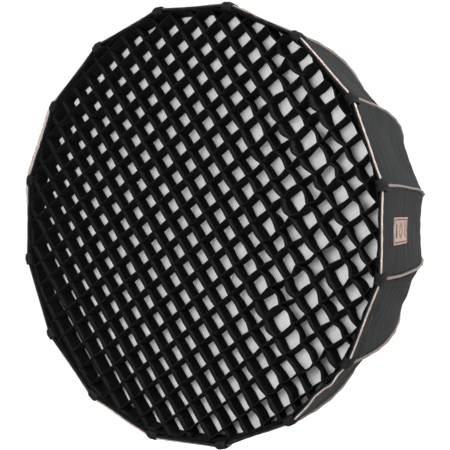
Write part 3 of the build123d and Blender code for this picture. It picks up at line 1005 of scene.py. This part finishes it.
def wall_bulge(i, j, family):
    """Sideways bow of the wall that follows node i, j, at its front and at its rear."""
    base = AXIS_U * i * GRID_PITCH + AXIS_V * j * GRID_PITCH
    slack = slackness(base[0])
    noise_front, noise_rear = wall_bow[i, j][2 * family : 2 * family + 2]
    turn = (-1) ** (i if family else j)
    front = (0.7 * turn + 0.6 * noise_front) * (0.0058 if family else 0.0030)
    rear = (0.5 * turn + 0.5 * noise_rear) * (0.0035 if family else 0.0022)
    return np.clip(front, -0.0085, 0.0085) * slack, np.clip(rear, -0.006, 0.006) * slack


def strip_centre(family, line, position, depth):
    """A strip's centreline in the X-Z plane; position counts nodes along it."""
    cell = math.floor(position)
    part = position - cell
    ends = [(cell + step, line) if family == 0 else (line, cell + step) for step in (-1, 0, 1, 2)]
    p = [node_place(*end, depth) for end in ends]
    smooth = 0.5 * (
        2 * p[1] + (p[2] - p[0]) * part + (2 * p[0] - 5 * p[1] + 4 * p[2] - p[3]) * part**2
        + (3 * p[1] - p[0] - 3 * p[2] + p[3]) * part**3
    )
    front, rear = wall_bulge(*ends[1], family)
    normal = AXIS_V if family == 0 else AXIS_U
    bow = math.sin(math.pi * part) ** 1.2 * (front * (1 - depth) + rear * depth)
    return smooth + normal * bow


def strip_span(family, line):
    """Where a strip's straight line enters and leaves the grid's border, in node counts."""
    along, normal = (AXIS_U, AXIS_V) if family == 0 else (AXIS_V, AXIS_U)
    positions = np.arange(-11.0, 11.0, 0.02)
    points = positions[:, None] * GRID_PITCH * along + line * GRID_PITCH * normal
    reach = front_reach(np.arctan2(points[:, 1], points[:, 0]))
    inside = np.hypot(points[:, 0], points[:, 1]) < reach - STRIP_HALF
    return (positions[inside][0], positions[inside][-1]) if inside.any() else None


STRIP_SECTION = [  # share of the depth and of the half thickness, front fold to rear fold
    (0.0, 0.15), (0.010, 0.75), (0.035, 1.12), (0.09, 1.18), (0.14, 0.86), (0.35, 0.92), (0.55, 0.98),
    (0.78, 0.90), (0.93, 1.0), (0.985, 0.7), (1.0, 0.15),
]


def add_grid(cloth):
    """Crossed strips of doubled cloth, each with folded edges, taut on one side and slack on the other."""
    height = GRID_REAR - GRID_FRONT
    limit = int(FRONT_FLAT / GRID_PITCH)
    for family in (0, 1):
        for line in range(-limit, limit + 1):
            span = strip_span(family, line)
            if span is None:
                continue
            positions = np.linspace(*span, max(4, round((span[1] - span[0]) * CELL_STEPS)))
            rings = []
            lift = rng.uniform(0, 2 * math.pi)
            for position in positions:
                left, right = [], []
                part = position - math.floor(position)
                proud = -0.0009 * math.sin(math.pi * part) * math.sin(3.3 * position + lift)
                for depth, thick in STRIP_SECTION:
                    centre = strip_centre(family, line, position, depth)
                    ahead = strip_centre(family, line, position + 0.02, depth) - centre
                    normal = np.array([-ahead[1], ahead[0]]) / np.linalg.norm(ahead)
                    y = GRID_FRONT + 0.0004 + depth * (height - 0.0008) + proud * (1 - depth)
                    for store, sign in ((left, 1), (right, -1)):
                        spot = centre + sign * normal * STRIP_HALF * thick
                        store.append((spot[0], y, spot[1]))
                rings.append(left + right[::-1])
            rings = np.array(rings)
            depths = [depth for depth, thick in STRIP_SECTION]
            around = np.array(depths + [2.0 - depth for depth in depths[::-1]]) * height
            uvs = spread(around, (positions * GRID_PITCH)[:, None])
            builder = Builder().tube(rings, uvs)
            name = f"grid_strip_{'ab'[family]}{line + limit:02d}"
            piece = builder.piece(name, [cloth], "grid_set", "black_grid_cloth")
            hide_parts("grid")


def add_grid_border(cloth):
    """The grid's edge band, a doubled strip that bows out between the strips' ends."""
    turns = SIDES * 20
    angle = full_turn(turns)
    height = GRID_REAR - GRID_FRONT
    bow = 0.0014 * np.sin(angle * 70 + 2 * np.sin(angle * 3)) + 0.0010 * np.sin(angle * 23)
    pull = drawn_in(FRONT_FLAT * np.cos(angle), FRONT_FLAT * np.sin(angle))
    rings = []
    for side, section in ((1, STRIP_SECTION), (-1, STRIP_SECTION[::-1])):
        for depth, thick in section:
            r = front_reach(angle) + bow * math.sin(math.pi * min(1, depth + 0.2)) - pull * depth
            r += side * STRIP_HALF * thick
            rings.append(round_axis(r, GRID_FRONT + depth * height, angle))
    rings = np.stack(rings + rings[:1])
    uvs = spread(np.arange(len(rings))[:, None] * 0.004, angle * FRONT_FLAT)
    builder = Builder()
    builder.add(rings, uvs, grid_faces(len(rings), turns, wrap=True))
    piece = builder.piece("grid_edge_band", [cloth], "grid_set", "black_webbing")
    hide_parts("grid_border")


# ---- carried-over CAD nodes


def finish_cad(materials):
    """Gives each carried-over CAD node the finish of its material slot."""
    slots = {entry["node"]: entry["material_slot"] for entry in frame["record"]["subparts"]}
    for name, node in frame["nodes"].items():
        material = materials.get(slots[name])
        if material is not None:
            node.data.materials.clear()
            node.data.materials.append(material)


add_camera()
add_stage()
webbing, thread, grid_cloth = webbing_material(), thread_material(), grid_material()
rose_tape = rose_tape_material("rose_gold_tape", (0.032, 0.020, 0.015), (0.110, 0.077, 0.062), 0.0010)
rose_piping = rose_tape_material("rose_gold_piping", (0.105, 0.082, 0.070), (0.275, 0.225, 0.203), 0.0060)
FINISHES = {  # by the slot in the record: name, dark, light, roughness and metallic
    "moulded_black": ("moulded_plastic", (0.012, 0.012, 0.013), (0.026, 0.026, 0.027), 0.45),
    "steel": ("steel", (0.42, 0.42, 0.43), (0.6, 0.6, 0.6), 0.32, 1.0),
    "black_steel": ("blackened_steel", (0.02, 0.02, 0.02), (0.05, 0.05, 0.05), 0.35, 0.7),
    "cast_aluminium": ("cast_ring", (0.50, 0.50, 0.51), (0.66, 0.66, 0.67), 0.38, 1.0),
    "painted_rod": ("painted_rod", (0.015, 0.015, 0.016), (0.03, 0.03, 0.03), 0.3, 0.2),
}
finish_cad({slot: rough_part_material(*finish) for slot, finish in FINISHES.items()})
add_shell(shell_material(), silver_material())
add_seam_tapes(rose_tape, thread)
add_pockets(webbing, thread)
add_rim_piping(rose_piping)
add_rim_hem(webbing)
add_label(label_material())
add_cuff(webbing)
add_diffuser(diffusion_material())
add_diffuser_border(hook_tape_material())
add_grid(grid_cloth)
add_grid_border(grid_cloth)
